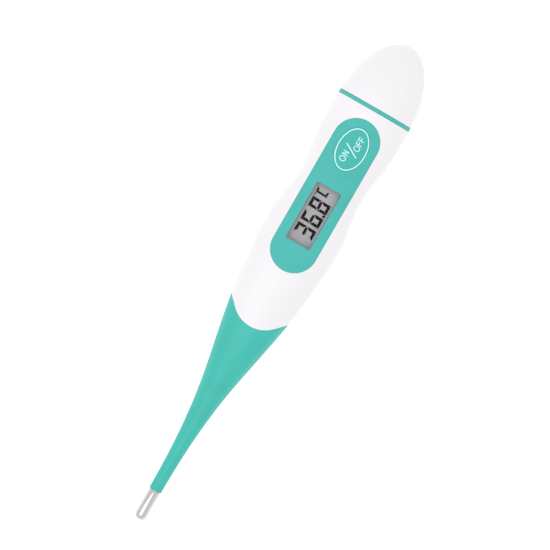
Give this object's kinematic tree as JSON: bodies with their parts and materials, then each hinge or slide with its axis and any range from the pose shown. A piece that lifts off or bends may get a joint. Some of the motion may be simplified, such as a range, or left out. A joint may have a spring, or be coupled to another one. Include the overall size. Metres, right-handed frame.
{
  "type": "digital thermometer",
  "caption": "Stick digital thermometer with a waisted handle, soft front panel with display and key, pull-off battery cap, and a flexible tapered probe with a metal tip.",
  "frame": {"origin": "centre of the object's outline on the plane that its flat back rests on", "axes": "+Y along the thermometer, from metal tip to battery cap; +Z out of the display side; +X across"},
  "size_m": [0.0208, 0.138, 0.0126],
  "materials": {
    "white_shell": "fine satin moulded ABS, white",
    "teal_soft": "matte soft-touch elastomer, teal",
    "teal_key": "matte soft-touch elastomer, teal",
    "teal_sleeve": "satin flexible elastomer, teal",
    "clear_lens": "clear polished acrylic",
    "display_glass": "polarised display glass",
    "display_reflector": "matte grey reflector film",
    "zebra_rubber": "striped conductive elastomer",
    "grey_plastic": "plain moulded ABS, grey",
    "black_plastic": "plain moulded plastic, black",
    "board": "glass-fibre board with green solder mask",
    "black_epoxy": "glossy black epoxy",
    "component_ceramic": "ceramic chip components",
    "solder": "solder",
    "switch_steel": "pressed steel",
    "buzzer_brass": "thin brass disc",
    "buzzer_ceramic": "white piezo ceramic",
    "cell_steel": "nickel-plated steel can",
    "contact_steel": "nickel-plated spring steel",
    "tip_steel": "polished stainless steel",
    "bead_epoxy": "epoxy-coated thermistor bead",
    "potting_epoxy": "thermally conductive epoxy",
    "lead_enamel": "enamelled copper wire"
  },
  "bodies": {
    "root": {"housing": "white_shell", "front_panel": "teal_soft", "display_lens": "clear_lens", "switch_case": "switch_steel", "lcd_front_glass": "display_glass", "lcd_rear_glass": "display_glass", "lcd_reflector": "display_reflector", "zebra_strips": "zebra_rubber", "lcd_holder": "grey_plastic", "circuit_board": "board", "chip_blob": "black_epoxy", "small_components": "component_ceramic", "crystal": "switch_steel", "solder_joints": "solder", "buzzer_plate": "buzzer_brass", "buzzer_ceramic": "buzzer_ceramic", "inner_frame": "grey_plastic", "button_cell": "cell_steel", "negative_contact": "contact_steel", "positive_contact": "contact_steel", "sleeve_root": "teal_sleeve", "sensor_leads": "lead_enamel"},
    "button": {"power_button": "teal_key", "switch_plunger": "black_plastic"},
    "cap": {"battery_cap": "white_shell", "cap_seal": "teal_soft"},
    "probe_1": {"sleeve_1": "teal_sleeve"},
    "probe_2": {"sleeve_2": "teal_sleeve"},
    "probe_3": {"sleeve_3": "teal_sleeve"},
    "probe_4": {"sleeve_4": "teal_sleeve"},
    "probe_5": {"sleeve_5": "teal_sleeve"},
    "probe_6": {"sleeve_6": "teal_sleeve", "metal_tip": "tip_steel", "sensor_bead": "bead_epoxy", "tip_potting": "potting_epoxy"}
  },
  "joints": [
    {"name": "button_press", "type": "slide", "parent": "root", "child": "button", "axis": [0, 0, -1], "range_m": [0, 0.00035], "stiffness_N_per_m": 3000},
    {"name": "cap_pull", "type": "slide", "parent": "root", "child": "cap", "axis": [0, 1, 0], "range_m": [0, 0.022]},
    {"name": "bend_front_1", "type": "hinge", "parent": "root", "child": "probe_1", "pos_m": [0, -0.031, 0.00615], "axis": [1, 0, 0], "range_deg": [-18, 18], "stiffness_Nm_per_rad": 0.03, "deforming": ["sensor_leads"]},
    {"name": "bend_side_1", "type": "hinge", "parent": "probe_1", "child": "probe_2", "pos_m": [0, -0.036, 0.00615], "axis": [0, 0, 1], "range_deg": [-18, 18], "stiffness_Nm_per_rad": 0.025},
    {"name": "bend_front_2", "type": "hinge", "parent": "probe_2", "child": "probe_3", "pos_m": [0, -0.041, 0.00615], "axis": [1, 0, 0], "range_deg": [-18, 18], "stiffness_Nm_per_rad": 0.02},
    {"name": "bend_side_2", "type": "hinge", "parent": "probe_3", "child": "probe_4", "pos_m": [0, -0.046, 0.00615], "axis": [0, 0, 1], "range_deg": [-18, 18], "stiffness_Nm_per_rad": 0.016},
    {"name": "bend_front_3", "type": "hinge", "parent": "probe_4", "child": "probe_5", "pos_m": [0, -0.051, 0.00615], "axis": [1, 0, 0], "range_deg": [-18, 18], "stiffness_Nm_per_rad": 0.013},
    {"name": "bend_side_3", "type": "hinge", "parent": "probe_5", "child": "probe_6", "pos_m": [0, -0.056, 0.00615], "axis": [0, 0, 1], "range_deg": [-18, 18], "stiffness_Nm_per_rad": 0.01}
  ]
}
